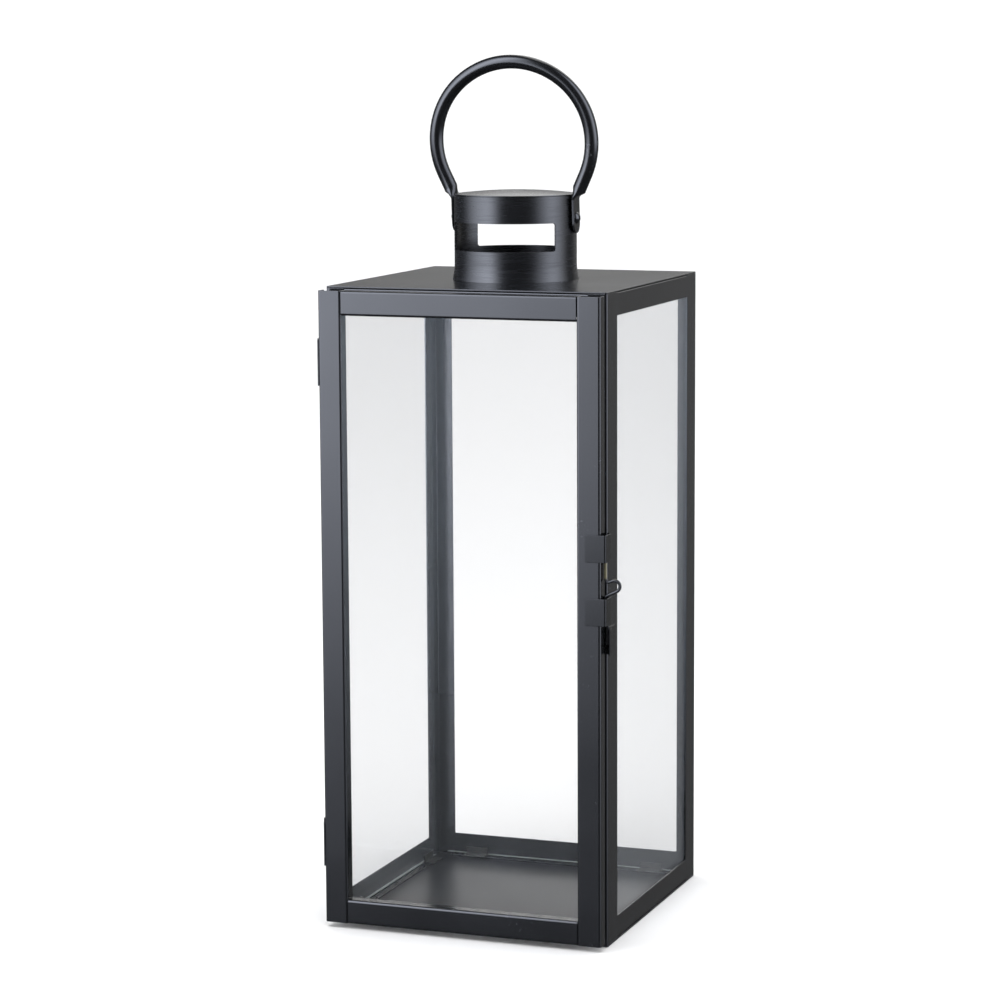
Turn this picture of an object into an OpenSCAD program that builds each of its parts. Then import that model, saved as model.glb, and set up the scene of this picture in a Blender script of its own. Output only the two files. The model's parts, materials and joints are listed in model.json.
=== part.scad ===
// Candle lantern in folded sheet steel. A square glazed case carries a vented
// chimney with a tube handle on its roof, and a glazed door on its front.
// Origin: middle of the case's footprint, on the surface that it stands on.
// The door faces -Y, its hinges are on the -X side, and +Z is up.

/* [Case] */
// Width of the case, left to right
case_w = 180; // [150:5:240]
// Depth of the case, without the door
case_d = 180; // [150:5:240]
// Height of the case, base to roof
case_h = 397; // [330:1:520]
// Width of each rail and stile, as seen from outside
member_w = 15; // [13:0.5:20]
// Width of a corner post on the front and the back
post_w = 12; // [11:0.5:16]
// Width of a corner post on the left and the right side
post_d = 19; // [13:0.5:24]
// Thickness of the sheet steel
sheet_t = 1; // [0.8:0.1:1.4]
// Inside radius of a fold in the sheet
fold_r = 0.5; // [0.3:0.1:0.6]
// Depth of the flange folded inwards along each rail
flange_d = 8; // [6.5:0.5:11]

/* [Glass] */
// Thickness of each pane
pane_t = 2; // [1.5:0.1:3]
// How far a case pane reaches behind the posts
pane_lap = 5; // [3:0.5:8]
// How far the door pane reaches behind its frame
door_pane_lap = 4; // [3:0.5:5]
// Width of a tab that holds a pane
tab_w = 15; // [8:1:20]
// Height of a tab over the pane
tab_h = 5; // [4:0.5:7]
// Thickness of a tab
tab_t = 0.8; // [0.5:0.1:1]
// How far a tab's foot reaches past the flange that it stands on
tab_nose = 2.5; // [1:0.5:4]
// Place of each tab, from the middle of a side, as a share of the side
tab_place_share = 0.34; // [0.2:0.01:0.36]

/* [Chimney] */
// Outer diameter of the chimney
chimney_d = 76.2; // [60:0.2:90]
// Height of the chimney above the roof
chimney_h = 52.2; // [50:0.2:70]
// Thickness of the chimney wall
chimney_t = 1; // [0.8:0.1:1.5]
// How far the foot of the chimney flares outwards
flare_out = 1.2; // [0.5:0.1:2]
// Height of the flared foot
flare_h = 10; // [6:0.5:14]
// Height of the smoke slots above the roof
slot_z = 18.6; // [14:0.2:22]
// Height of each smoke slot
slot_h = 17.3; // [10:0.1:20]
// Angle that each smoke slot takes of the chimney wall
slot_angle = 120; // [90:1:125]
// Corner radius of the smoke slots
slot_r = 1.8; // [0.5:0.1:3]
// Diameter of the vent hole in the roof
vent_d = 64; // [50:1:72]

/* [Chimney cap] */
// Rise of the cap's crown over its rim
cap_rise = 2.2; // [1:0.1:5]
// Thickness of the cap
cap_t = 0.8; // [0.6:0.1:1.2]
// How far the cap's rim stands in from the chimney wall
cap_inset = 0.4; // [0.2:0.1:0.6]
// Depth of the skirt that holds the cap in the chimney
skirt_h = 4; // [3:0.5:8]

/* [Handle] */
// Diameter of the handle tube
tube_d = 8.6; // [6:0.2:10]
// How far the loop's centreline stands out beyond the chimney wall
loop_out = 12.95; // [11:0.05:18]
// How much lower the loop's crown is than a half circle
loop_flat = 2; // [1:0.1:3]
// Height of the loop's widest place over the rivets
loop_rise = 47; // [44:1:60]
// Angle of the straight arms to the upright
arm_angle = 25; // [20:1:26]
// Width of the flattened ends
strap_w = 13.3; // [11:0.1:15]
// Thickness of the flattened ends
strap_t = 2; // [1.6:0.1:2.4]
// Length of a flattened end below the rivet
strap_tail = 9.3; // [8:0.1:12]
// Length of a flattened end above the rivet
strap_top = 11.5; // [10:0.5:13]
// Length over which the round tube is flattened
crimp_h = 6.5; // [5:0.5:7]
// Height of the rivets above the roof
pivot_z = 38.3; // [36:0.1:41]
// Angle that the handle leans forward at rest
handle_lean = 4; // [-30:1:30]
// Diameter of the rivet shank
rivet_d = 4; // [3:0.1:4.4]
// Diameter of the rivet's domed head
rivet_head_d = 7.4; // [6:0.1:9]
// Height of the rivet's domed head
rivet_head_h = 2; // [1.2:0.1:3]

/* [Door] */
// Depth of the door frame, front to back
door_depth = 8; // [7:0.5:12]
// Gap between the back of the door frame and the case
door_gap = 5; // [4.6:0.1:8]
// Height of the door's lower edge above the base
door_lift = 3.2; // [2:0.1:6]
// Distance from the roof down to the door's upper edge
door_drop = 1.7; // [1:0.1:6]

/* [Hinges] */
// Height of each hinge
hinge_h = 28; // [24:1:40]
// Distance from the door's upper edge to the middle of the upper hinge
upper_hinge_drop = 44; // [30:1:90]
// Distance from the door's lower edge to the middle of the lower hinge
lower_hinge_rise = 49.3; // [30:0.1:90]
// Outer diameter of the hinge knuckles
knuckle_d = 4.8; // [4.4:0.1:6]
// Height of the middle knuckle
knuckle_h = 12.5; // [10:0.5:16]
// Gap between two knuckles
knuckle_gap = 1; // [0.4:0.1:1.4]
// Thickness of the hinge leaves
leaf_t = 0.9; // [0.7:0.1:1]
// Width of the leaf on the case
leaf_w = 12.5; // [10:0.5:14]
// Diameter of the hinge pin
hinge_pin_d = 2; // [1.8:0.1:2.4]

/* [Latch] */
// Height of the middle of the lower clip above the base
latch_z = 208; // [150:1:250]
// Distance between the two clips, middle to middle
clip_pitch = 38.2; // [36:0.2:60]
// Height of each clip
clip_h = 16.5; // [14:0.5:18]
// Length of the clip's tab on the door's face
clip_reach = 9.6; // [7:0.1:12]
// How far the clips stand out beyond the door's edge
clip_out = 3.6; // [3.4:0.1:5]
// Thickness of the clips and the keeper
clip_t = 0.8; // [0.6:0.1:1]
// Outer radius of the clip's rolled rear edge
clip_roll_r = 3.2; // [2.8:0.1:3.4]
// Diameter of the latch wire
wire_d = 2; // [1.6:0.1:2]
// Distance from the door's face back to the upper wire
wire_back = 5.3; // [4:0.1:6]
// Distance from the door's face back to the tail of the wire
tail_back = 9.2; // [8.8:0.1:9.4]
// Width across the thumb loop, over the wire
thumb_h = 8.8; // [8:0.2:9.4]
// How far the thumb loop stands out from the wire's centreline
thumb_out = 10; // [9.4:0.1:14]
// Angle that the thumb loop points up
thumb_tilt = 25; // [10:1:30]
// Height of the keeper
keeper_h = 16; // [12:0.5:20]
// Distance from the lower clip down to the keeper
keeper_drop = 2.7; // [1:0.1:5]
// Length of the keeper's foot on the side of the case
keeper_foot = 12; // [8:0.5:14]
// Depth that the wire's tail sits in the keeper
tail_grip = 10; // [6:0.5:10]

/* [Hidden] */
$fn = 64;
hull_fn = 32;
// Overrun of every cut past the surface that it opens
overrun = 1;
// Play around a pane on its seat
pane_play = 0.2;
// How far a tab in the door reaches over the edge of the door pane
door_tab_reach = 2.5;
// Radial clearance of a pin that turns in its bore
running_fit = 0.05;
// Radial clearance of a pin that is fixed in its hole
fixed_fit = 0.02;
// How much thinner a straight length is than the bend that it runs into
bend_slack = 0.02;
// How far it runs into the bend
bend_bite = 0.2;
// Gap between the handle's flattened ends and the chimney
strap_gap = 0.3;
// Gap under a rivet head
head_gap = 0.05;
// Gap between the chimney wall and the inner rivet head
rivet_tail_gap = 0.2;
rivet_tail_d = 6;
rivet_tail_h = 1.2;
// Gap between the cap's skirt and the chimney wall
skirt_gap = 0.1;
// How far a flattened blend reaches into the tube and the strap
crimp_bite = 1;
// How much thinner the blend is than what it reaches into
crimp_slack = 0.1;
crimp_slice = 0.2;
// Gap between a hinge leaf and the knuckles of the other leaf
leaf_gap = 0.35;
// Margin between the door's face and the edge of its hinge leaf
leaf_margin = 0.6;
pin_head_h = 0.7;
pin_head_d = 3;
// Clearance between the wire and what it slides in
wire_play = 0.4;
// Gap between the rolled edge of a clip and the case
clip_clear = 1.1;
clip_fold_r = 0.4;
// Gap between the thumb loop and the clip that it rests on
thumb_gap = 0.65;
// Radius of the bends where the thumb loop leaves the wire
thumb_bend_r = 2;
// How far the wire's upper end reaches into the upper clip
wire_top_reach = 11;
// Height over which the wire steps back to its tail
crank_h = 9;
// How far the keeper's cheek reaches in front of the wire's tail
cheek_reach = 2.2;
flare_steps = 6;
cap_steps = 10;
// Angles at which the four posts and the sides are turned
quarter = 90;
half_turn = 180;
// Angle above the level at which the loop's sides run into its crown
loop_join = 50;

fold_out = fold_r + sheet_t;
frame_h = case_h - 2 * sheet_t;
rail_h = member_w - sheet_t;
// Legs of a post along X and along Y, which swap at each quarter turn
post_legs = [post_w, post_d];
open_w = case_w - 2 * post_w;
open_d = case_d - 2 * post_d;

pane_w = open_w + 2 * pane_lap;
pane_d = open_d + 2 * pane_lap;
pane_z = 2 * sheet_t + pane_play;
pane_h = case_h - 2 * pane_z;
pane_in = sheet_t + pane_play;
tab_in = pane_in + pane_t + pane_play;

chimney_r = chimney_d / 2;
cap_r = chimney_r - cap_inset;
skirt_r = chimney_r - chimney_t - skirt_gap;

loop_r = chimney_r + loop_out;
// The loop is an oval of three arcs: two sides and a crown of a larger radius
loop_step = loop_flat / (cos(loop_join) + sin(loop_join) - 1);
side_x = loop_step * cos(loop_join);
side_r = loop_r - side_x;
crown_r = side_r + loop_step;
crown_z = loop_rise - loop_step * sin(loop_join);
crown_bite = asin(bend_bite / crown_r);
pivot_top = case_h + pivot_z;
strap_in = chimney_r + strap_gap;
strap_mid = strap_in + strap_t / 2;
arm_end_z = strap_top + crimp_h;
arm_top_z = loop_rise - side_r * sin(arm_angle);
arm_l = (arm_top_z - arm_end_z) / cos(arm_angle);
arm_end_x = side_x + side_r * cos(arm_angle) - arm_l * sin(arm_angle);

door_y = -case_d / 2 - door_gap - door_depth;
door_z = door_lift;
door_h = case_h - door_lift - door_drop;
door_back = door_y + door_depth;
door_open_h = door_h - 2 * member_w;
door_open_w = case_w - 2 * member_w;
door_pane_h = door_open_h + 2 * door_pane_lap;
door_pane_z = door_z + member_w - door_pane_lap;
door_pane_y = door_back + pane_play;
door_tab_y = door_pane_y + pane_t + pane_play;

hinge_x = -case_w / 2 - knuckle_d / 2;
hinge_y = -case_d / 2 - door_gap / 2;
upper_hinge_z = door_z + door_h - upper_hinge_drop;
lower_hinge_z = door_z + lower_hinge_rise;
leaf_start = knuckle_d / 2 + leaf_gap;
outer_knuckle_h = (hinge_h - knuckle_h) / 2 - knuckle_gap;

wire_r = wire_d / 2;
wire_x = case_w / 2 + wire_play + wire_r;
wire_y = door_y + wire_back;
tail_y = door_y + tail_back;
lower_clip_z = latch_z - clip_h / 2;
upper_clip_z = lower_clip_z + clip_pitch;
thumb_r = (thumb_h - wire_d) / 2;
thumb_low = lower_clip_z + clip_h + thumb_gap + wire_r - thumb_bend_r;
thumb_across = thumb_bend_r + thumb_r;
thumb_high = thumb_low + 2 * thumb_across / cos(thumb_tilt);
thumb_x = thumb_out - wire_r - thumb_r;
thumb_run = (thumb_x - thumb_bend_r + thumb_across * sin(thumb_tilt)) / cos(thumb_tilt);
thumb_back_run = thumb_run - 2 * thumb_across * tan(thumb_tilt);
thumb_z = thumb_low + thumb_across * cos(thumb_tilt) + thumb_run * sin(thumb_tilt);
keeper_z = lower_clip_z - keeper_drop - keeper_h;
tail_z = keeper_z + keeper_h - tail_grip;
crank_top = thumb_low;
crank_low = crank_top - crank_h;
wire_top = upper_clip_z + wire_top_reach;

steel = [0.17, 0.17, 0.18];
dark_steel = [0.1, 0.1, 0.11];
clear_glass = [0.8, 0.88, 0.86, 0.35];
worn_steel = [0.28, 0.27, 0.22];

// Rectangle from the origin, rounded at the corner on the origin
module corner_rect(w, d, r) {
    translate([r, 0])
        square([w - r, d]);
    translate([0, r])
        square([w, d - r]);
    translate([r, r])
        circle(r = r);
}

// Rectangle about the origin with four round corners
module rounded_rect(w, d, r) {
    square([w - 2 * r, d], center = true);
    square([w, d - 2 * r], center = true);
    for (x = [-1, 1])
        for (y = [-1, 1])
            translate([x * (w / 2 - r), y * (d / 2 - r)])
                circle(r = r);
}

// Rectangle that is rounded at its two far corners, with a radius for each
module end_rounded(x0, x1, y0, y1, r0, r1) {
    translate([x0, y0])
        square([x1 - x0 - r0, y1 - y0 - r1]);
    translate([x0, y0 + r0])
        square([x1 - x0 - r1, y1 - y0 - r0]);
    translate([x0, y0 + r0])
        square([x1 - x0, y1 - y0 - r0 - r1]);
    translate([x1 - r0, y0 + r0])
        circle(r = r0);
    translate([x1 - r1, y1 - r1])
        circle(r = r1);
}

// Outline of a channel: its face on the X axis, round at both folds
module channel_outline(w, d, r) {
    translate([r, 0])
        square([w - 2 * r, d]);
    translate([0, r])
        square([w, d - r]);
    for (x = [r, w - r])
        translate([x, r])
            circle(r = r);
}

// Sheet folded once: legs a along X and b along Y, fold on the origin
module angle_section(a, b) {
    difference() {
        corner_rect(a, b, fold_out);
        translate([sheet_t, sheet_t])
            corner_rect(a, b, fold_r);
    }
}

// Sheet folded twice: face of width w on the X axis, legs d deep along Y
module channel_section(w, d) {
    difference() {
        channel_outline(w, d, fold_out);
        translate([sheet_t, sheet_t])
            channel_outline(w - 2 * sheet_t, d, fold_r);
    }
}

// Runs what faces the front side along one side of the case, by quarter turns
module on_side(quarters, reach) {
    rotate(quarters * quarter)
        translate([0, -reach, 0])
            children();
}

// Corner post, with its fold on a corner of the case
module post(side_x, side_y, quarters) {
    color(steel)
        translate([side_x * case_w / 2, side_y * case_d / 2, sheet_t])
            rotate(quarters * quarter)
                linear_extrude(frame_h)
                    angle_section(post_legs[quarters % 2], post_legs[(quarters + 1) % 2]);
}

// Rail along X with its face on the plane y = 0 and its flange at the bottom
module rail_bar(length) {
    rotate([quarter, 0, quarter])
        translate([0, 0, -length / 2])
            linear_extrude(length)
                angle_section(flange_d, rail_h);
}

module bottom_rail(quarters, reach, length) {
    color(steel)
        on_side(quarters, reach)
            translate([0, 0, sheet_t])
                rail_bar(length);
}

module top_rail(quarters, reach, length) {
    color(steel)
        on_side(quarters, reach)
            translate([0, 0, case_h - sheet_t])
                rotate([0, half_turn, 0])
                    rail_bar(length);
}

module base_plate() {
    color(steel)
        linear_extrude(sheet_t)
            rounded_rect(case_w, case_d, fold_out);
}

module roof_plate() {
    color(steel)
        translate([0, 0, case_h - sheet_t])
            linear_extrude(sheet_t)
                difference() {
                    rounded_rect(case_w, case_d, fold_out);
                    circle(d = vent_d);
                }
}

module case_pane(quarters, reach, width) {
    color(clear_glass)
        on_side(quarters, reach)
            translate([-width / 2, pane_in, pane_z])
                cube([width, pane_t, pane_h]);
}

// Angle tab that stands on a rail's flange and holds the pane against the rail
module pane_tab() {
    translate([-tab_w / 2, tab_in, 0])
        cube([tab_w, tab_t, tab_h]);
    translate([-tab_w / 2, tab_in, 0])
        cube([tab_w, flange_d + tab_nose - tab_in, tab_t]);
}

module pane_tabs(quarters, reach) {
    color(dark_steel)
        on_side(quarters, reach)
            for (side = [-1, 1])
                translate([side * tab_place_share * 2 * reach, 0, 0]) {
                    translate([0, 0, 2 * sheet_t])
                        pane_tab();
                    translate([0, 0, case_h - 2 * sheet_t])
                        rotate([0, half_turn, 0])
                            pane_tab();
                }
}

// How far the chimney wall stands out at height z above the roof
function flare_at(z) = flare_out * pow(1 - z / flare_h, 2);

// Wedge that opens a smoke slot of a given half angle
module slot_wedge(half_angle, z, h) {
    reach = 2 * chimney_r;
    translate([0, 0, z])
        linear_extrude(h)
            polygon([
                [0, 0],
                [reach * cos(half_angle), -reach * sin(half_angle)],
                [reach, 0],
                [reach * cos(half_angle), reach * sin(half_angle)]
            ]);
}

module slot_cut() {
    half = slot_angle / 2;
    corner = asin(slot_r / chimney_r);
    slot_wedge(half, slot_z + slot_r, slot_h - 2 * slot_r);
    slot_wedge(half - corner, slot_z, slot_h);
    for (side = [-1, 1])
        for (z = [slot_z + slot_r, slot_z + slot_h - slot_r])
            translate([0, 0, z])
                rotate([0, quarter, side * (half - corner)])
                    cylinder(r = slot_r, h = 2 * chimney_r);
}

module chimney_collar() {
    steps = [for (i = [0 : flare_steps]) flare_h * i / flare_steps];
    outer = [for (z = steps) [chimney_r + flare_at(z), z]];
    inner = [for (z = steps) [chimney_r - chimney_t + flare_at(z), z]];
    top = [[chimney_r, chimney_h], [chimney_r - chimney_t, chimney_h]];
    inner_down = [for (i = [flare_steps : -1 : 0]) inner[i]];
    color(steel)
        translate([0, 0, case_h])
            difference() {
                rotate_extrude()
                    polygon(concat(outer, top, inner_down));
                for (turn = [-quarter, quarter])
                    rotate(turn)
                        slot_cut();
                translate([-2 * chimney_r, 0, pivot_z])
                    rotate([0, quarter, 0])
                        cylinder(d = rivet_d + 2 * fixed_fit, h = 4 * chimney_r);
            }
}

// Height of the cap's underside at radius r
function crown_at(r) = cap_rise * (1 - pow(r / cap_r, 2));

module chimney_cap() {
    skirt_in = skirt_r - cap_t;
    over = [for (i = [0 : cap_steps]) [cap_r * i / cap_steps, cap_t + crown_at(cap_r * i / cap_steps)]];
    under = [for (i = [cap_steps : -1 : 0]) [skirt_in * i / cap_steps, crown_at(skirt_in * i / cap_steps)]];
    rim = [[cap_r, 0], [skirt_r, 0], [skirt_r, -skirt_h], [skirt_in, -skirt_h]];
    color(steel)
        translate([0, 0, case_h + chimney_h])
            rotate_extrude()
                polygon(concat(over, rim, under));
}

// Rivet along the X axis: clinched inside the chimney, domed outside the handle
module handle_rivet(side) {
    seat = strap_in + strap_t + head_gap;
    tail = chimney_r - chimney_t - rivet_tail_gap;
    crown_r = (pow(rivet_head_d / 2, 2) + pow(rivet_head_h, 2)) / (2 * rivet_head_h);
    color(dark_steel)
        translate([0, 0, pivot_top])
            rotate([0, side * quarter, 0]) {
                translate([0, 0, tail - rivet_tail_h])
                    cylinder(d = rivet_tail_d, h = rivet_tail_h);
                translate([0, 0, tail - rivet_tail_h])
                    cylinder(d = rivet_d, h = seat - tail + rivet_tail_h + rivet_head_h / 2);
                translate([0, 0, seat])
                    intersection() {
                        cylinder(d = rivet_head_d, h = rivet_head_h);
                        translate([0, 0, rivet_head_h - crown_r])
                            sphere(r = crown_r);
                    }
            }
}

// Arc of round stock of diameter d in the XZ plane, about the point x, z
module bent_arc(x, z, r, start, sweep, d) {
    translate([x, 0, z])
        rotate([quarter, 0, 0])
            rotate(start)
                rotate_extrude(angle = sweep)
                    translate([r, 0])
                        circle(d = d);
}

// Flattened end of the handle tube, with its round lower end and rivet hole
module handle_strap() {
    rotate([quarter, 0, quarter])
        linear_extrude(strap_t)
            difference() {
                union() {
                    translate([0, strap_w / 2 - strap_tail])
                        circle(d = strap_w);
                    translate([-strap_w / 2, strap_w / 2 - strap_tail])
                        square([strap_w, strap_tail - strap_w / 2 + strap_top]);
                }
                circle(d = rivet_d + 2 * running_fit);
            }
}

// Blend from the round tube to the flattened end
module handle_crimp(side) {
    hull() {
        translate([side * arm_end_x, 0, arm_end_z])
            rotate([0, side * arm_angle, 0])
                cylinder(d = tube_d - crimp_slack, h = crimp_bite, $fn = hull_fn);
        translate([side * strap_mid, 0, strap_top - crimp_bite])
            cube([strap_t - crimp_slack, strap_w - crimp_slack, crimp_slice], center = true);
    }
}

module handle() {
    color(steel)
        translate([0, 0, pivot_top])
            rotate([handle_lean, 0, 0]) {
                bent_arc(side_x, loop_rise, side_r, -arm_angle, arm_angle + loop_join, tube_d);
                bent_arc(-side_x, loop_rise, side_r, half_turn - loop_join, arm_angle + loop_join, tube_d);
                bent_arc(0, crown_z, crown_r, loop_join - crown_bite,
                    half_turn - 2 * (loop_join - crown_bite), tube_d - 2 * bend_slack);
                for (side = [-1, 1]) {
                    translate([side * arm_end_x, 0, arm_end_z])
                        rotate([0, side * arm_angle, 0])
                            cylinder(d = tube_d - 2 * bend_slack, h = arm_l + bend_bite);
                    handle_crimp(side);
                    translate([side * strap_mid - strap_t / 2, 0, 0])
                        handle_strap();
                }
            }
}

module door_stile(left_edge) {
    color(steel)
        translate([left_edge, door_y, door_z])
            linear_extrude(door_h)
                channel_section(member_w, door_depth);
}

module door_rail(upper_edge) {
    color(steel)
        translate([-door_open_w / 2, door_y, upper_edge])
            rotate([0, quarter, 0])
                linear_extrude(door_open_w)
                    channel_section(member_w, door_depth);
}

module door_pane() {
    width = door_open_w + 2 * door_pane_lap;
    color(clear_glass)
        translate([-width / 2, door_pane_y, door_pane_z])
            cube([width, pane_t, door_pane_h]);
}

// Angle tab inside a door rail, with its lip over the edge of the pane
module door_tab() {
    web_y = door_y + sheet_t;
    translate([-tab_w / 2, web_y, pane_play])
        cube([tab_w, door_tab_y - web_y + tab_t, tab_t]);
    translate([-tab_w / 2, door_tab_y, -door_tab_reach])
        cube([tab_w, tab_t, door_tab_reach + pane_play + tab_t]);
}

module door_pane_tabs() {
    color(dark_steel)
        for (side = [-1, 1])
            translate([side * tab_place_share * door_open_w, 0, 0]) {
                translate([0, 0, door_pane_z + door_pane_h])
                    door_tab();
                translate([0, 0, door_pane_z])
                    rotate([0, half_turn, 0])
                        door_tab();
            }
}

// One knuckle about the hinge axis, joined to the plane of the leaves
module knuckle(z, h, neck) {
    difference() {
        union() {
            translate([0, 0, z])
                cylinder(d = knuckle_d, h = h);
            translate([knuckle_d / 2 - leaf_t, min(neck, 0), z])
                cube([leaf_t, abs(neck), h]);
        }
        translate([0, 0, z - overrun])
            cylinder(d = hinge_pin_d + 2 * running_fit, h = h + 2 * overrun);
    }
}

module hinge_case_leaf(z) {
    color(dark_steel)
        translate([hinge_x, hinge_y, z]) {
            knuckle(-hinge_h / 2, outer_knuckle_h, leaf_start);
            knuckle(hinge_h / 2 - outer_knuckle_h, outer_knuckle_h, leaf_start);
            translate([knuckle_d / 2 - leaf_t, leaf_start, -hinge_h / 2])
                cube([leaf_t, leaf_w, hinge_h]);
        }
}

module hinge_door_leaf(z) {
    width = hinge_y - leaf_start - door_y - leaf_margin;
    color(dark_steel)
        translate([hinge_x, hinge_y, z]) {
            knuckle(-knuckle_h / 2, knuckle_h, -leaf_start);
            translate([knuckle_d / 2 - leaf_t, -leaf_start - width, -hinge_h / 2])
                cube([leaf_t, width, hinge_h]);
        }
}

module hinge_pin(z) {
    color(dark_steel)
        translate([hinge_x, hinge_y, z - hinge_h / 2]) {
            translate([0, 0, -pin_head_h])
                cylinder(d = hinge_pin_d, h = hinge_h + 2 * pin_head_h);
            translate([0, 0, hinge_h + head_gap])
                cylinder(d = pin_head_d, h = pin_head_h);
            translate([0, 0, -pin_head_h - head_gap])
                cylinder(d = pin_head_d, h = pin_head_h);
        }
}

// Clip around the door's edge: tab on the face, side wall and rolled rear edge
module latch_clip(z) {
    tab_x = case_w / 2 - clip_reach;
    side_x = case_w / 2 + clip_out;
    front_y = door_y - clip_t;
    rear_y = -case_d / 2 - clip_clear;
    color(steel)
        translate([0, 0, z])
            linear_extrude(clip_h)
                difference() {
                    end_rounded(tab_x, side_x, front_y, rear_y, clip_fold_r + clip_t, clip_roll_r);
                    end_rounded(tab_x - overrun, side_x - clip_t, door_y, rear_y - clip_t,
                        clip_fold_r, clip_roll_r - clip_t);
                    translate([tab_x - overrun, door_y])
                        square([clip_reach + wire_play + overrun, rear_y + overrun - door_y]);
                }
}

// Straight stretch of the thumb loop, from where a bend of centre height z ends
module thumb_side(z, side, length) {
    rise = side * thumb_bend_r;
    translate([thumb_bend_r - rise * sin(thumb_tilt), 0, z + rise * cos(thumb_tilt)])
        rotate([0, quarter - thumb_tilt, 0])
            translate([0, 0, -bend_bite])
                cylinder(r = wire_r - bend_slack, h = length + 2 * bend_bite);
}

module latch_bolt() {
    step = tail_y - wire_y;
    crank_angle = atan2(step, crank_h);
    crank_l = sqrt(step * step + crank_h * crank_h);
    color(worn_steel)
        translate([wire_x, wire_y, 0]) {
            translate([0, 0, thumb_high])
                cylinder(r = wire_r, h = wire_top - thumb_high);
            bent_arc(thumb_bend_r, thumb_high, thumb_bend_r, half_turn,
                quarter + thumb_tilt, wire_d);
            thumb_side(thumb_high, -1, thumb_back_run);
            bent_arc(thumb_x, thumb_z, thumb_r, thumb_tilt - quarter, half_turn, wire_d);
            thumb_side(thumb_low, 1, thumb_run);
            bent_arc(thumb_bend_r, thumb_low, thumb_bend_r, quarter + thumb_tilt,
                quarter - thumb_tilt, wire_d);
            translate([0, 0, crank_top])
                sphere(r = wire_r + bend_slack);
            translate([0, 0, crank_top])
                rotate([half_turn + crank_angle, 0, 0])
                    cylinder(r = wire_r, h = crank_l);
            translate([0, step, crank_low])
                sphere(r = wire_r + bend_slack);
            translate([0, step, tail_z + wire_r])
                cylinder(r = wire_r, h = crank_low - tail_z - wire_r);
            translate([0, step, tail_z + wire_r])
                sphere(r = wire_r);
        }
}

// Keeper on the side of the case, open to the front, that the wire's tail drops in
module latch_keeper() {
    back_y = tail_y + wire_r + wire_play;
    cheek_x = wire_x + wire_r + wire_play;
    color(dark_steel)
        translate([0, 0, keeper_z])
            linear_extrude(keeper_h) {
                translate([case_w / 2, back_y])
                    square([clip_t, keeper_foot - case_d / 2 - back_y]);
                translate([case_w / 2, back_y])
                    square([cheek_x + clip_t - case_w / 2, clip_t]);
                translate([cheek_x, tail_y - cheek_reach])
                    square([clip_t, back_y + clip_t - tail_y + cheek_reach]);
            }
}

base_plate();
post(-1, -1, 0);  // post_front_left
post(1, -1, 1);  // post_front_right
post(-1, 1, 3);  // post_back_left
post(1, 1, 2);  // post_back_right
bottom_rail(0, case_d / 2, open_w);  // sill_front
bottom_rail(3, case_w / 2, open_d);  // bottom_rail_left
bottom_rail(1, case_w / 2, open_d);  // bottom_rail_right
bottom_rail(2, case_d / 2, open_w);  // bottom_rail_back
top_rail(0, case_d / 2, open_w);  // header_front
top_rail(3, case_w / 2, open_d);  // top_rail_left
top_rail(1, case_w / 2, open_d);  // top_rail_right
top_rail(2, case_d / 2, open_w);  // top_rail_back
roof_plate();
case_pane(3, case_w / 2, pane_d);  // pane_left
case_pane(1, case_w / 2, pane_d);  // pane_right
case_pane(2, case_d / 2, pane_w);  // pane_back
pane_tabs(3, case_w / 2);  // pane_tabs_left
pane_tabs(1, case_w / 2);  // pane_tabs_right
pane_tabs(2, case_d / 2);  // pane_tabs_back
chimney_collar();
chimney_cap();
handle_rivet(-1);  // handle_rivet_left
handle_rivet(1);  // handle_rivet_right
handle();
door_stile(-case_w / 2);  // door_stile_left
door_stile(case_w / 2 - member_w);  // door_stile_right
door_rail(door_z + door_h);  // door_rail_top
door_rail(door_z + member_w);  // door_rail_bottom
door_pane();
door_pane_tabs();
hinge_case_leaf(upper_hinge_z);  // upper_hinge_case_leaf
hinge_door_leaf(upper_hinge_z);  // upper_hinge_door_leaf
hinge_pin(upper_hinge_z);  // upper_hinge_pin
hinge_case_leaf(lower_hinge_z);  // lower_hinge_case_leaf
hinge_door_leaf(lower_hinge_z);  // lower_hinge_door_leaf
hinge_pin(lower_hinge_z);  // lower_hinge_pin
latch_clip(upper_clip_z);  // latch_clip_upper
latch_clip(lower_clip_z);  // latch_clip_lower
latch_bolt();
latch_keeper();
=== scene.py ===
"""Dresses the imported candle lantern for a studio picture.

The frame gives each CAD node in metres, with the middle of the case's footprint
at the origin, the door at -Y and +Z up. Sheet parts keep their CAD shape and get
broken edges; the handle and the latch wire are modelled again as bent stock.
"""

import json
import math

import bmesh
import bpy
from mathutils import Matrix, Vector


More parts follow.
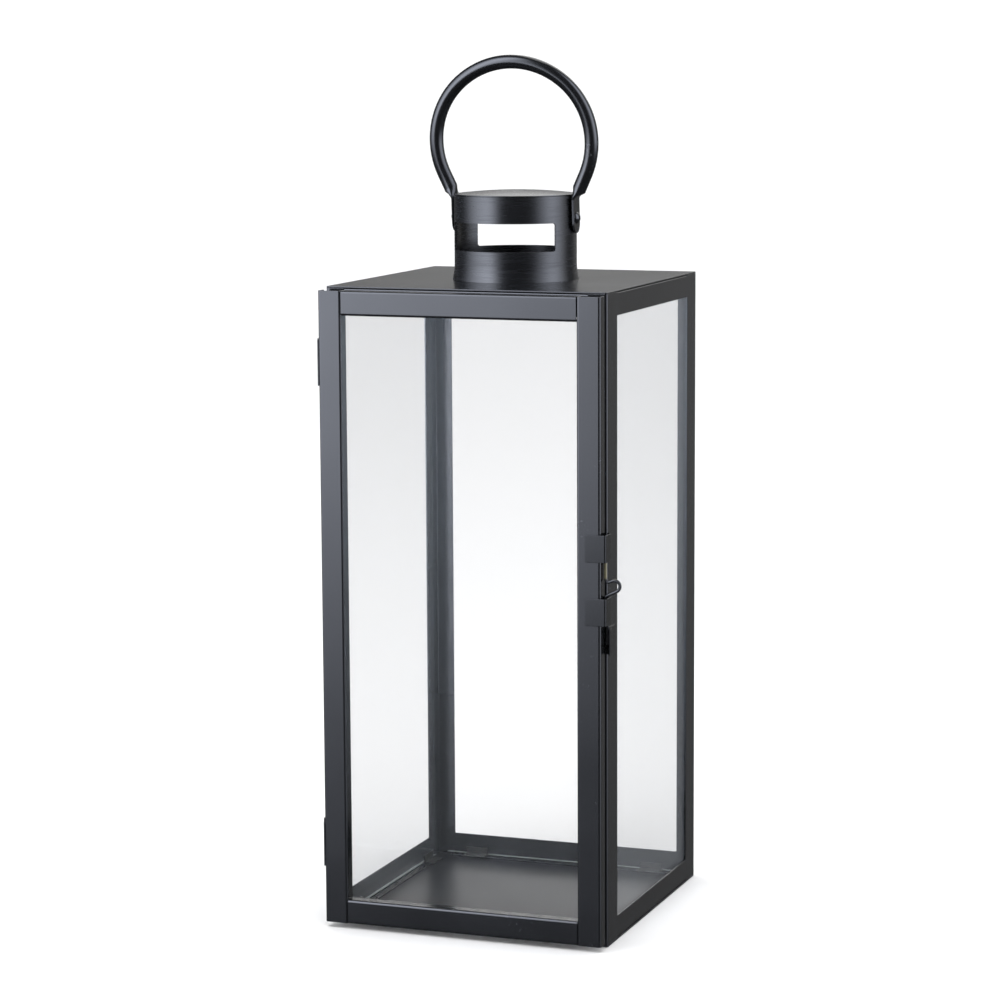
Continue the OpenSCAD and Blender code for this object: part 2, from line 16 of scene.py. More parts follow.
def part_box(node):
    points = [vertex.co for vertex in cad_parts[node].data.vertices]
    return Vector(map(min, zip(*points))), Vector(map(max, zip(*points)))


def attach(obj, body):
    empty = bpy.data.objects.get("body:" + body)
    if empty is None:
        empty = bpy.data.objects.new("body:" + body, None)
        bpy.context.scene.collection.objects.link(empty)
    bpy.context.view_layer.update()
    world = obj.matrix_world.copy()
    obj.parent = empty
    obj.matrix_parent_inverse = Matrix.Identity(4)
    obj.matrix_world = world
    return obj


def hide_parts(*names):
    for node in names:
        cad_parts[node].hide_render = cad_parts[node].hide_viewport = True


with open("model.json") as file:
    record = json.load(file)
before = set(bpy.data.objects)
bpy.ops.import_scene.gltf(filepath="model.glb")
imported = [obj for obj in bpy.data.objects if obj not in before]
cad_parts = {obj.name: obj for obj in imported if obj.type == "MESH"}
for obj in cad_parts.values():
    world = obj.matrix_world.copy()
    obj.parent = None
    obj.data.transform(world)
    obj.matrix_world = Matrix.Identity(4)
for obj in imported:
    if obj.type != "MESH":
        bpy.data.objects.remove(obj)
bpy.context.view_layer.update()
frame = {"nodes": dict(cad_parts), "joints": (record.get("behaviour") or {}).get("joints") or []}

bl_info = {
    "name": "Candle Lantern",
    "version": (1, 0, 0),
    "blender": (4, 5, 0),
    "location": "3D View > Sidebar > Lantern",
    "description": "Dresses a glazed candle lantern and its studio",
    "category": "Add Mesh",
}

MM = 0.001
# Vertices closer than WELD are made one, and a length under HAIR counts as none
WELD = 0.002 * MM
HAIR = 0.001 * MM
# Degrees between faces. Faces within FLAT are made one, and shading runs on over edges
# under SMOOTH. Edges over SHARP are broken, or on round parts, whose facets stay whole,
# those over SHARP_ON_ROUND.
FLAT = 0.5
SHARP = 40
SHARP_ON_ROUND = 50
SMOOTH = 50
# Each step of a domed end: its rise, as a share of the radius, and how far it draws in
DOME_STEPS = ((0.5, 0.87), (0.35, 0.57))

# The CAD nodes that share a finish, by the body that they ride on
SHEET_PARTS = {
    "lantern": [
        "post_front_left", "post_front_right", "post_back_right", "sill_front",
        "bottom_rail_left", "bottom_rail_right", "bottom_rail_back",
        "header_front", "top_rail_left", "top_rail_right", "top_rail_back", "roof_plate",
    ],
    "door": ["door_stile_left", "door_stile_right", "door_rail_top", "door_rail_bottom"],
}
# This post carries the most painted sheen
SHEEN_PAINTED_POST = {"lantern": ["post_back_left"]}
FLOOR = {"lantern": ["base_plate"]}
PANES = {"lantern": ["pane_left", "pane_right", "pane_back"], "door": ["door_pane"]}
TABS = {
    "lantern": ["pane_tabs_left", "pane_tabs_right", "pane_tabs_back"],
    "door": ["door_pane_tabs"],
}
HINGE_PARTS = {
    "lantern": [
        "upper_hinge_case_leaf", "upper_hinge_pin", "lower_hinge_case_leaf", "lower_hinge_pin",
    ],
    "door": ["upper_hinge_door_leaf", "lower_hinge_door_leaf"],
}
CHIMNEY = {"lantern": ["chimney_collar", "chimney_cap"]}
RIVETS = {"lantern": ["handle_rivet_left", "handle_rivet_right"]}
LATCH_PARTS = {"door": ["latch_clip_upper", "latch_clip_lower"], "lantern": ["latch_keeper"]}


def linear(hex_colour):
    """The linear value of an sRGB hex colour such as "#1a1b1d"."""
    parts = [int(hex_colour[i : i + 2], 16) / 255 for i in (1, 3, 5)]
    return tuple(p / 12.92 if p <= 0.04045 else ((p + 0.055) / 1.055) ** 2.4 for p in parts)


def opaque(hex_colour):
    """The same with full cover, as a colour socket takes it."""
    return (*linear(hex_colour), 1.0)


def deselect():
    if bpy.context.object and bpy.context.object.mode != "OBJECT":
        bpy.ops.object.mode_set(mode="OBJECT")
    bpy.ops.object.select_all(action="DESELECT")


def make_active(obj):
    deselect()
    obj.select_set(True)
    bpy.context.view_layer.objects.active = obj


def apply_modifier(obj, kind, **settings):
    make_active(obj)
    modifier = obj.modifiers.new(kind.title(), kind)
    for key, value in settings.items():
        setattr(modifier, key, value)
    bpy.ops.object.modifier_apply(modifier=modifier.name)


def finish_piece(obj, name, body, material):
    """Names a finished piece, gives it its finish and hangs it on its body."""
    obj.name = name
    obj.data.name = name
    obj.data.materials.clear()
    obj.data.materials.append(material)
    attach(obj, body)


def merged_copy(node):
    """A copy of a CAD node's mesh with its loose triangles joined into flat faces."""
    source = frame["nodes"][node]
    copy = bpy.data.objects.new(node + "_dressed", source.data.copy())
    bpy.context.scene.collection.objects.link(copy)
    make_active(copy)
    bpy.ops.object.mode_set(mode="EDIT")
    bpy.ops.mesh.select_all(action="SELECT")
    bpy.ops.mesh.remove_doubles(threshold=WELD)
    bpy.ops.mesh.dissolve_limited(angle_limit=math.radians(FLAT))
    bpy.ops.object.mode_set(mode="OBJECT")
    return copy


def bevel(obj, width, segments, angle=SHARP):
    apply_modifier(
        obj, "BEVEL", width=width, segments=segments, limit_method="ANGLE",
        angle_limit=math.radians(angle), use_clamp_overlap=True,
    )


def break_edges(obj, width, angle):
    """Takes the sharp arris off every edge that is steeper than the angle."""
    bevel(obj, width, 2, angle)
    bpy.ops.object.shade_smooth_by_angle(angle=math.radians(SMOOTH))
    # Large faces keep their own normal, so that only the broken edges shine as round
    apply_modifier(obj, "WEIGHTED_NORMAL", mode="FACE_AREA", weight=90, keep_sharp=True)


def dress(parts, name_tail, width, material, angle=SHARP):
    """Replaces CAD nodes with copies whose edges are broken."""
    for body, nodes in parts.items():
        for node in nodes:
            piece = merged_copy(node)
            break_edges(piece, width, angle)
            finish_piece(piece, node + name_tail, body, material)
            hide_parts(node)


def picked(obj):
    """The number and place of each picked vertex of a mesh that is being edited."""
    mesh = bmesh.from_edit_mesh(obj.data)
    mesh.verts.index_update()
    return [(v.index, v.co.copy()) for v in mesh.verts if v.select]


def places_of(obj, numbers):
    """The number and present place of each numbered vertex."""
    mesh = bmesh.from_edit_mesh(obj.data)
    mesh.verts.ensure_lookup_table()
    return [(number, mesh.verts[number].co.copy()) for number in numbers]


def pick(obj, numbers):
    """Picks the numbered vertices, and the edges and faces between them."""
    mesh = bmesh.from_edit_mesh(obj.data)
    for part in (mesh.faces, mesh.edges, mesh.verts):
        for item in part:
            item.select = False
    mesh.verts.ensure_lookup_table()
    for number in numbers:
        mesh.verts[number].select = True
    mesh.select_flush(True)
    bmesh.update_edit_mesh(obj.data)


def start_stock(radius, sides, place, turn):
    """A ring of vertices in edit mode, which round stock is then pulled from."""
    deselect()
    bpy.ops.mesh.primitive_circle_add(
        vertices=sides, radius=radius, location=place, rotation=turn
    )
    stock = bpy.context.object
    bpy.ops.object.transform_apply(location=True, rotation=True, scale=True)
    bpy.ops.object.mode_set(mode="EDIT")
    bpy.ops.mesh.select_all(action="SELECT")
    return stock


def middle_of(places):
    return sum(places, Vector()) / len(places)


def run(move):
    """Pulls the picked ring straight on."""
    bpy.ops.mesh.extrude_edges_move(TRANSFORM_OT_translate={"value": move})


def bend(centre, axis, degrees, step=4):
    """Turns the picked ring on about a centre, and leaves a wall behind it."""
    # spin turns the other way from the right-hand rule
    bpy.ops.mesh.spin(
        steps=max(2, round(abs(degrees) / step)), dupli=False, angle=-math.radians(degrees),
        center=centre, axis=axis,
    )


def size_ring(obj, extent, move=(0, 0, 0), flat=0.0):
    """Moves the picked ring and gives it an extent on each axis. The share flat then
    presses its broad sides, which face X, from round to level."""
    ring = picked(obj)
    numbers = [number for number, _ in ring]
    places = [place for _, place in ring]
    middle = middle_of(places)
    now = [max(p[i] for p in places) - min(p[i] for p in places) for i in range(3)]
    scale = [extent[i] / now[i] if now[i] > HAIR else 1 for i in range(3)]
    bpy.ops.transform.resize(value=scale, center_override=middle)
    bpy.ops.transform.translate(value=move)
    if flat <= 0:
        return
    middle += Vector(move)
    # The rest of the width stays round, as the strap's two edges
    broad_half = 0.42 * extent[1]
    for side in (-1, 1):
        pick(obj, [
            number for number, place in places_of(obj, numbers)
            if side * (place.x - middle.x) > HAIR
            and abs(place.y - middle.y) < broad_half + HAIR
        ])
        plane = (middle.x + side * extent[0] / 2, middle.y, middle.z)
        bpy.ops.transform.resize(value=(1 - flat, 1, 1), center_override=plane)
    pick(obj, numbers)


def dome_end(obj, radius, up):
    """Draws the picked level ring in to a domed end, which a small face closes."""
    for rise, share in DOME_STEPS:
        run((0, 0, up * rise * radius))
        middle = middle_of([place for _, place in picked(obj)])
        bpy.ops.transform.resize(value=(share, share, 1), center_override=middle)
    bpy.ops.mesh.edge_face_add()


def leave_edit(obj, angle):
    """Merges what touches, turns every face outwards and shades the stock as round."""
    bpy.ops.mesh.select_all(action="SELECT")
    bpy.ops.mesh.remove_doubles(threshold=WELD)
    bpy.ops.mesh.normals_make_consistent(inside=False)
    bpy.ops.object.mode_set(mode="OBJECT")
    make_active(obj)
    bpy.ops.object.shade_smooth_by_angle(angle=math.radians(angle))


def add_node(tree, kind, sockets=None, **settings):
    """Adds a node, sets its own settings, and sets or links its sockets by name or place."""
    node = tree.nodes.new(kind)
    for key, value in settings.items():
        setattr(node, key, value)
    for key, value in (sockets or {}).items():
        if isinstance(value, bpy.types.NodeSocket):
            tree.links.new(value, node.inputs[key])
        else:
            node.inputs[key].default_value = value
    return node


def maths(tree, operation, first, second=0.0):
    """One step of arithmetic, between numbers or the results of nodes."""
    sockets = {0: first, 1: second}
    return add_node(tree, "ShaderNodeMath", sockets, operation=operation).outputs["Value"]


def ramp(tree, value, low, high, at_low=0.0, at_high=1.0, **settings):
    """Goes from at_low to at_high while the value goes from low to high."""
    return add_node(tree, "ShaderNodeMapRange", {
        "Value": value, "From Min": low, "From Max": high, "To Min": at_low,
        "To Max": at_high,
    }, **settings).outputs["Result"]


def mixed(tree, share, first, second):
    """A colour between two, with the given share of the second."""
    sockets = {0: share, 6: first, 7: second}
    return add_node(tree, "ShaderNodeMix", sockets, data_type="RGBA").outputs[2]


def noise(tree, place, grain, detail):
    """Noise from 0 to 1, with about a grain from one lump to the next."""
    return add_node(tree, "ShaderNodeTexNoise", {
        "Vector": place, "Scale": 1 / grain, "Detail": detail,
    }).outputs["Fac"]


def bumped(tree, height, strength, depth):
    """The normal of a surface that a height from 0 to 1 raises by up to a depth."""
    return add_node(tree, "ShaderNodeBump", {
        "Height": height, "Strength": strength, "Distance": depth,
    }).outputs["Normal"]


def new_material(name):
    material = bpy.data.materials.new(name)
    material.use_nodes = True
    material.node_tree.nodes.clear()
    return material, material.node_tree


def coordinates_in(tree):
    return add_node(tree, "ShaderNodeTexCoord").outputs


def height_of(tree, vector):
    return add_node(tree, "ShaderNodeSeparateXYZ", {"Vector": vector}).outputs["Z"]


def with_surface(material, sockets):
    """Ends a material in one Principled surface."""
    tree = material.node_tree
    surface = add_node(tree, "ShaderNodeBsdfPrincipled", sockets)
    add_node(tree, "ShaderNodeOutputMaterial", {"Surface": surface.outputs["BSDF"]})
    return material


def spun_lines(tree, place, most):
    """Fine level lines round Z, from nothing to the most."""
    # Stretched eighteenfold round the piece, a millimetre and a half apart along Z
    stretched = add_node(tree, "ShaderNodeMapping", {
        "Vector": place, "Scale": (0.055, 0.055, 1.0),
    }).outputs["Vector"]
    return ramp(tree, noise(tree, stretched, 1.5 * MM, 3.0), 0.48, 0.68, at_high=most)


def painted_inner_sheen(tree, place, normal, most):
    """Painted sheen: the most on faces towards the case's middle at its top, nothing at its
    foot.
    """
    level = add_node(
        tree, "ShaderNodeVectorMath", {0: place, 1: (1.0, 1.0, 0.0)}, operation="MULTIPLY"
    ).outputs["Vector"]
    # How far out from the middle a face stands, negative where it looks inwards
    outwards = add_node(
        tree, "ShaderNodeVectorMath", {0: level, 1: normal}, operation="DOT_PRODUCT"
    ).outputs["Value"]
    inside = ramp(tree, outwards, -50 * MM, -20 * MM, most, 0.0)
    near_top = ramp(tree, height_of(tree, place), 60 * MM, 380 * MM)
    return maths(tree, "MULTIPLY", inside, near_top)


def coated_steel(
    name, colour, *, roughness, peel_mm, depth_mm, streaks=0.0, painted_sheen=0.0, refraction=1.5
):
    """Sheet steel under a baked satin coat: a fine orange peel that breaks up
    reflections, gloss that handling has made a little uneven, and rare pale scuffs.
    Streaks are rougher lines round Z, as spinning leaves them. Painted sheen is the share of
    a pale painted reflection on faces towards the case's middle, paler towards the top."""
    material, tree = new_material(name)
    coordinates = coordinates_in(tree)
    place = coordinates["Object"]
    # Handling marks are about a hand's breadth apart
    marks = noise(tree, place, 70 * MM, 4.0)
    gloss = ramp(tree, marks, 0.3, 0.7, roughness - 0.02, roughness + 0.03)
    if streaks:
        gloss = maths(tree, "ADD", gloss, spun_lines(tree, place, streaks))
    # Scuffs of about a millimetre show where two noises are both high
    grit, spread = noise(tree, place, 2.2 * MM, 3.0), noise(tree, place, 38 * MM, 2.0)
    scuff = ramp(tree, maths(tree, "MULTIPLY", grit, spread), 0.45, 0.52, at_high=0.25)
    shade = mixed(tree, scuff, opaque(colour), opaque(colours().scuff))
    # Painted sheen: a pale colour on inward faces, paler towards the top, stands in for light
    # they reflect
    if painted_sheen:
        haze = painted_inner_sheen(tree, place, coordinates["Normal"], painted_sheen)
        shade = mixed(tree, haze, shade, opaque(colours().painted_sheen))
    peel = noise(tree, place, peel_mm * MM, 2.0)
    return with_surface(material, {
        "Base Color": shade, "Roughness": gloss, "IOR": refraction,
        "Normal": bumped(tree, peel, 0.25, depth_mm * MM),
    })


def float_glass(name, tint):
    """Clear float glass: it passes nearly all light straight on, and mirrors up to three
    fifths of it at a glance. A thin film of dust shows more where it is seen at a slant."""
    material, tree = new_material(name)
    glance = add_node(tree, "ShaderNodeLayerWeight", {"Blend": 0.5}).outputs["Facing"]
    clear = add_node(tree, "ShaderNodeBsdfTransparent", {"Color": opaque(tint)})
    mirror = add_node(tree, "ShaderNodeBsdfPrincipled", {
        "Base Color": (1, 1, 1, 1), "Metallic": 1.0, "Roughness": 0.03,
    })
    glass = add_node(tree, "ShaderNodeMixShader", {
        0: ramp(tree, maths(tree, "POWER", glance, 5.0), 0.0, 1.0, at_high=0.6),
        1: clear.outputs["BSDF"], 2: mirror.outputs["BSDF"],
    })
    dust = add_node(tree, "ShaderNodeBsdfDiffuse", {"Color": opaque(colours().dust)})
    dusty = add_node(tree, "ShaderNodeMixShader", {
        0: ramp(tree, glance, 0.0, 1.0, 0.012, 0.05),
        1: glass.outputs["Shader"], 2: dust.outputs["BSDF"],
    })
    add_node(tree, "ShaderNodeOutputMaterial", {"Surface": dusty.outputs["Shader"]})
    return material


def ground_glass(name, colour):
    """The ground edge of a pane: fine grit leaves it frosted, and it gathers pale light."""
    material, tree = new_material(name)
    grit = noise(tree, coordinates_in(tree)["Object"], 0.5 * MM, 2.0)
    return with_surface(material, {
        "Base Color": opaque(colour), "Roughness": 0.35, "IOR": 1.5,
        "Normal": bumped(tree, grit, 0.3, 0.05 * MM),
    })


def rubbed_wire(name, coat, bare, low, high):
    """Drawn wire under the same black coat, rubbed to bare metal between the heights
    where the thumb loop is pushed up against the clip."""
    material, tree = new_material(name)
    place = coordinates_in(tree)["Object"]
    height = height_of(tree, place)
    above = ramp(tree, height, low - 0.5 * MM, low + 0.5 * MM)
    below = ramp(tree, height, high + 2 * MM, high + 3 * MM, 1.0, 0.0)
    rubbed = ramp(tree, noise(tree, place, 3 * MM, 5.0), 0.3, 0.5, at_low=0.6)
    worn = maths(tree, "MULTIPLY", maths(tree, "MULTIPLY", above, below), rubbed)
    return with_surface(material, {
        "Base Color": mixed(tree, worn, opaque(coat), opaque(bare)),
        "Metallic": ramp(tree, worn, 0.0, 1.0, at_high=0.5), "Roughness": 0.34,
    })


def paper_sweep(name, colour):
    """Seamless paper of the studio, flat white with a very fine tooth."""
    material, tree = new_material(name)
    tooth = noise(tree, coordinates_in(tree)["Object"], 2 * MM, 2.0)
    return with_surface(material, {
        "Base Color": opaque(colour), "Roughness": 0.8,
        "Normal": bumped(tree, tooth, 0.05, 0.05 * MM),
    })


def colour_of(name, description, default):
    return bpy.props.StringProperty(name=name, description=description, default=default)


def length_of(name, description, default, low, high):
    """A length property, given in millimetres and kept in metres."""
    return bpy.props.FloatProperty(
        name=name, description=description, default=default * MM, min=low * MM,
        max=high * MM, unit="LENGTH", precision=5,
    )


def brightness_of(name, description, default):
    return bpy.props.FloatProperty(
        name=name, description=description, default=default, min=0, max=40
    )


class LanternColours(bpy.types.PropertyGroup):
    """Colours of the finishes."""

    case: colour_of("Case", "Powder coat on the sheet steel", "#121315")
    handle: colour_of("Handle", "Powder coat on the handle tube", "#0f1012")
    fittings: colour_of("Fittings", "Paint on hinges, clips and rivets", "#0f1011")
    tabs: colour_of("Tabs", "Thin rubbed paint on the tabs that hold the panes", "#33332f")
    scuff: colour_of("Scuff", "Pale scuffs in the coat", "#7d8288")
    wire_coat: colour_of("Wire coat", "Coat on the latch wire", "#17171a")
    wire_bare: colour_of("Bare wire", "Metal where the coat is rubbed", "#6b6650")
    glass: colour_of("Glass", "Tint of the panes", "#f8f8f8")
    glass_edge: colour_of("Glass edge", "Ground edges of the panes", "#aab2af")
    dust: colour_of("Dust", "Film of dust on the panes", "#e4ecf6")
    # Painted sheen: a pale colour that stands in for light reflected by the case's inward faces
    painted_sheen: colour_of("Painted sheen", "Painted sheen on inward faces, paler towards the top", "#a3adb9")
    sweep: colour_of("Sweep", "Paper under the lantern", "#fafafa")
    daylight: colour_of("Daylight", "Light at the front, in the coat's gloss", "#e9efff")


class LanternEdges(bpy.types.PropertyGroup):
    """Widths of the edges that are broken here and are sharp in the CAD."""

    sheet: length_of("Sheet", "Broken edge on cut sheet", 0.2, 0.05, 0.4)
    pane: length_of("Pane", "Ground edge on a pane", 0.3, 0.1, 0.8)
    fitting: length_of("Fitting", "Broken edge on small fittings", 0.15, 0.05, 0.3)
    clip: length_of("Clip", "Broken edge on the latch clips", 0.35, 0.05, 0.38)


class LanternHandle(bpy.types.PropertyGroup):
    """Sizes of the bent tube handle, the same as in the CAD."""

    tube: length_of("Tube", "Diameter of the tube", 8.6, 6, 10)
    half_width: length_of("Half width", "Centreline at the loop's widest place", 51.05, 45, 58)
    flat: length_of("Flat", "How much lower the crown is than a half circle", 2, 1, 3)
    rise: length_of("Rise", "Height of the widest place over the rivets", 47, 44, 60)
    crimp: length_of("Crimp", "Length over which the tube is flattened", 6.5, 5, 7)
    strap_in: length_of("Strap place", "Inner face of the strap from the axis", 38.4, 34, 46)
    strap_width: length_of("Strap width", "Width of the flattened end", 13.3, 11, 15)
    strap_thick: length_of("Strap thickness", "Thickness of the flattened end", 2, 1.6, 2.4)
    strap_top: length_of("Strap top", "Flattened end above the rivet", 11.5, 10, 13)
    strap_tail: length_of("Strap tail", "Flattened end below the rivet", 9.3, 8, 12)
    rivet_bore: length_of("Rivet bore", "Diameter of the hole for the rivet", 4.1, 3.1, 4.5)
    arm_angle: bpy.props.FloatProperty(
        name="Arm angle", description="Straight arms from the upright",
        default=math.radians(25), min=math.radians(20), max=math.radians(26), unit="ROTATION",
    )
    lean: bpy.props.FloatProperty(
        name="Lean", description="Forward lean at rest", default=math.radians(4),
        min=math.radians(-30), max=math.radians(30), unit="ROTATION",
    )


class LanternWire(bpy.types.PropertyGroup):
    """Sizes of the latch wire, the same as in the CAD."""

    wire: length_of("Wire", "Diameter of the wire", 2, 1.6, 2)
    step: length_of("Step", "How far the tail stands behind the upper wire", 3.9, 3, 5)
    step_height: length_of("Step height", "Height over which it steps back", 9, 6, 12)
    step_bend: length_of("Step bend", "Bend radius where it steps back", 2.5, 1.5, 4)
    thumb_width: length_of("Thumb width", "Across the thumb loop, over the wire", 8.8, 8, 9.4)
    thumb_out: length_of("Thumb reach", "Thumb loop from the wire's centreline", 10, 9.4, 14)
    thumb_bend: length_of("Thumb bend", "Bend radius where the loop leaves the wire", 2, 1.5, 3)
    thumb_place: length_of("Thumb place", "Height of the loop's lower bend", 215.9, 150, 300)
    thumb_tilt: bpy.props.FloatProperty(
        name="Thumb tilt", description="Angle that the loop points up",
        default=math.radians(25), min=math.radians(10), max=math.radians(30), unit="ROTATION",
    )


class LanternStudio(bpy.types.PropertyGroup):
    """Brightness of the studio, seen in the coat's satin gloss."""

    softbox: brightness_of("Softbox", "Tall softbox at the left", 9.5)
    fill: brightness_of("Fill", "Tall softbox at the right", 7.2)
    haze: brightness_of("Haze", "Behind the lantern, about the horizon", 0.16)
    wall: brightness_of("Wall", "Wall behind the lantern, over the horizon", 1.95)
    room: brightness_of("Room", "The rest of the studio", 0.1)
    white: brightness_of("White", "Background and soft light all round", 1.1)


def colours():
    return bpy.context.scene.lantern_colours


def edges():
    return bpy.context.scene.lantern_edges


class LANTERN_OT_studio(bpy.types.Operator):
    """Builds the paper sweep, the soft lights and the camera"""

    bl_idname = "lantern.studio"
    bl_label = "Studio"

    def execute(self, context):
        scene = context.scene
        # The photo's paper is plain white, which filmic tones would grey
        scene.view_settings.view_transform = "Standard"

        deselect()
        # A fifth of a millimetre down, so that it shares no plane with the base
        bpy.ops.mesh.primitive_plane_add(size=80, location=(0, 0, -0.2 * MM))
        floor = context.object
        floor.name = "studio_floor"
        floor.data.materials.append(paper_sweep("matte_paper", colours().sweep))
        # The coat mirrors the dim room there, as black cards by the lantern give it
        floor.visible_glossy = False

        self.add_room(scene)
        self.add_softbox("top_softbox", place=(0.0, -0.4, 2.4), size=2.4, power=30)
        self.add_camera(scene)
        return {"FINISHED"}

    def add_room(self, scene):
        """White all round, which gloss sees as a dark room with a tall softbox at each
        side and a wall behind the lantern that grows paler as it rises."""
        studio = scene.lantern_studio
        world = bpy.data.worlds.new("studio_world")
        world.use_nodes = True
        tree = world.node_tree
        tree.nodes.clear()
        rays = add_node(tree, "ShaderNodeLightPath").outputs
        through = maths(tree, "SUBTRACT", 1.0, rays["Is Transmission Ray"])
        gloss = maths(tree, "MULTIPLY", rays["Is Glossy Ray"], through)
        toward = coordinates_in(tree)["Generated"]
        parts = add_node(tree, "ShaderNodeSeparateXYZ", {"Vector": toward}).outputs
        # Angles over the horizon and round from the front, where the right is positive
        height = maths(tree, "ARCSINE", parts["Z"])
        front = maths(tree, "SUBTRACT", 0.0, parts["Y"])
        around = maths(tree, "ARCTAN2", parts["X"], front)
        behind = maths(tree, "ABSOLUTE", around)
        # Each edge fades over some degrees: the angle, where it is dark, where it is bright
        seen = studio.room
        for light, fades in (
            (studio.softbox, (
                (around, -5, -33), (around, -97, -30), (height, -15, -3), (height, 75, 50),
            )),
            (studio.fill, (
                (around, 45, 103), (around, 137, 80), (height, -20, -2), (height, 75, 50),
            )),
            (studio.haze, ((behind, 150, 160), (height, -25, 0))),
            (studio.wall, ((behind, 150, 160), (height, 12, 17))),
        ):
            for angle, dark, bright in fades:
                edge = ramp(
                    tree, angle, math.radians(dark), math.radians(bright),
                    interpolation_type="SMOOTHSTEP",
                )
                light = maths(tree, "MULTIPLY", light, edge)
            seen = maths(tree, "ADD", light, seen)
        strength = add_node(tree, "ShaderNodeMix", {0: gloss, 2: studio.white, 3: seen})
        # Daylight at the front is cooler than the wall behind
        cool = ramp(tree, behind, math.radians(150), math.radians(110))
        at_front = maths(tree, "MULTIPLY", gloss, cool)
        tint = mixed(tree, at_front, (1, 1, 1, 1), opaque(colours().daylight))
        background = add_node(tree, "ShaderNodeBackground", {
            "Color": tint, "Strength": strength.outputs[0],
        })
        add_node(tree, "ShaderNodeOutputWorld", {"Surface": background.outputs[0]})
        # Gloss and light see two rooms, so light isn't aimed at the brighter one
        world.cycles.sampling_method = "NONE"
        scene.world = world

    def add_softbox(self, name, place, size, power):
        """A square soft light that looks at the lantern's foot, hidden from the camera and from
        gloss.
        """
        data = bpy.data.lights.new(name, "AREA")
        data.shape = "SQUARE"
        data.size = size
        data.energy = power
        light = bpy.data.objects.new(name, data)
        bpy.context.scene.collection.objects.link(light)
        light.location = place
        light.visible_camera = False
        light.visible_glossy = False
        light.rotation_euler = (-Vector(place)).to_track_quat("-Z", "Y").to_euler()

    def add_camera(self, scene):
        """Stands where the photograph was taken, found by fitting the case's corners."""
        azimuth, elevation, roll = (math.radians(a) for a in (20.358, 8.195, -0.311))
        distance, side, height = 2.02101, -0.010636, 0.25753
        focal_px, frame_px = 3209.185, 1000
        back = Vector((
            math.sin(azimuth) * math.cos(elevation),
            -math.cos(azimuth) * math.cos(elevation),
            math.sin(elevation),
        ))
        right = Vector((math.cos(azimuth), math.sin(azimuth), 0))
        up = back.cross(right)
        turned_right = right * math.cos(roll) + up * math.sin(roll)
        turned_up = up * math.cos(roll) - right * math.sin(roll)
        target = Vector((side * math.cos(azimuth), side * math.sin(azimuth), height))
        data = bpy.data.cameras.new("photo_camera")
        data.sensor_fit = "HORIZONTAL"
        data.sensor_width = 36
        data.lens = focal_px * data.sensor_width / frame_px
        camera = bpy.data.objects.new("photo_camera", data)
        scene.collection.objects.link(camera)
        turn = Matrix((turned_right, turned_up, back)).transposed().to_4x4()
        camera.matrix_world = Matrix.Translation(target + back * distance) @ turn
        scene.camera = camera


class LANTERN_OT_sheet_parts(bpy.types.Operator):
    """Gives the folded sheet of the case and the door its broken edges and coat"""

    bl_idname = "lantern.sheet_parts"
    bl_label = "Sheet parts"

    def execute(self, context):
        width, case = edges().sheet, colours().case
        # The case's inward faces carry some painted sheen, paler towards the top
        coat = coated_steel(
            "satin_powder_coat_on_sheet", case, roughness=0.17, peel_mm=0.7, depth_mm=0.02,
            painted_sheen=0.3,
        )
        dress(SHEET_PARTS, "_sheet", width, coat)
        # This corner carries more painted sheen and is glossier than the rest of the case
        sheen_painted_coat = coated_steel(
            "powder_coat_with_painted_sheen_on_post", case, roughness=0.17, peel_mm=0.7, depth_mm=0.02,
            painted_sheen=0.45, refraction=1.9,
        )
        dress(SHEEN_PAINTED_POST, "_sheet", width, sheen_painted_coat)
        # The floor has lost its gloss to candles and cleaning
        worn = coated_steel(
            "dull_powder_coat_on_floor", case, roughness=0.36, peel_mm=0.9, depth_mm=0.03
        )
        dress(FLOOR, "_sheet", width, worn)
        return {"FINISHED"}


class LANTERN_OT_panes(bpy.types.Operator):
    """Gives the panes clear faces and ground edges"""

    bl_idname = "lantern.panes"
    bl_label = "Panes"

    def execute(self, context):
        glass = float_glass("clear_float_glass", colours().glass)
        edge = ground_glass("ground_edge_of_glass", colours().glass_edge)
        for body, nodes in PANES.items():
            for node in nodes:
                pane = merged_copy(node)
                bevel(pane, edges().pane, 1)
                finish_piece(pane, node + "_glass", body, glass)
                pane.data.materials.append(edge)
                # Only the level edges gather light; the folds shade the upright ones
                for face in pane.data.polygons:
                    face.material_index = 1 if abs(face.normal.z) > 0.5 else 0
                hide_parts(node)
        return {"FINISHED"}


class LANTERN_OT_tabs(bpy.types.Operator):
    """Dresses the small tabs that hold the panes"""

    bl_idname = "lantern.tabs"
    bl_label = "Pane tabs"

    def execute(self, context):
        paint = coated_steel(
            "rubbed_paint_on_tabs", colours().tabs, roughness=0.3, peel_mm=0.6, depth_mm=0.02
        )
        dress(TABS, "_pressed", edges().fitting, paint)
        return {"FINISHED"}


class LANTERN_OT_chimney(bpy.types.Operator):
    """Dresses the chimney collar, its cap and the handle rivets"""

    bl_idname = "lantern.chimney"
    bl_label = "Chimney"

    def execute(self, context):
        coat = coated_steel(
            "satin_powder_coat_on_spun_steel", colours().case, roughness=0.25, peel_mm=0.7,
            depth_mm=0.015, streaks=0.07,
        )
        dress(CHIMNEY, "_spun", edges().sheet, coat, SHARP_ON_ROUND)
        paint = coated_steel(
            "painted_rivet_steel", colours().fittings, roughness=0.22, peel_mm=0.5,
            depth_mm=0.01,
        )
        dress(RIVETS, "_domed", edges().fitting, paint, SHARP_ON_ROUND)
        return {"FINISHED"}


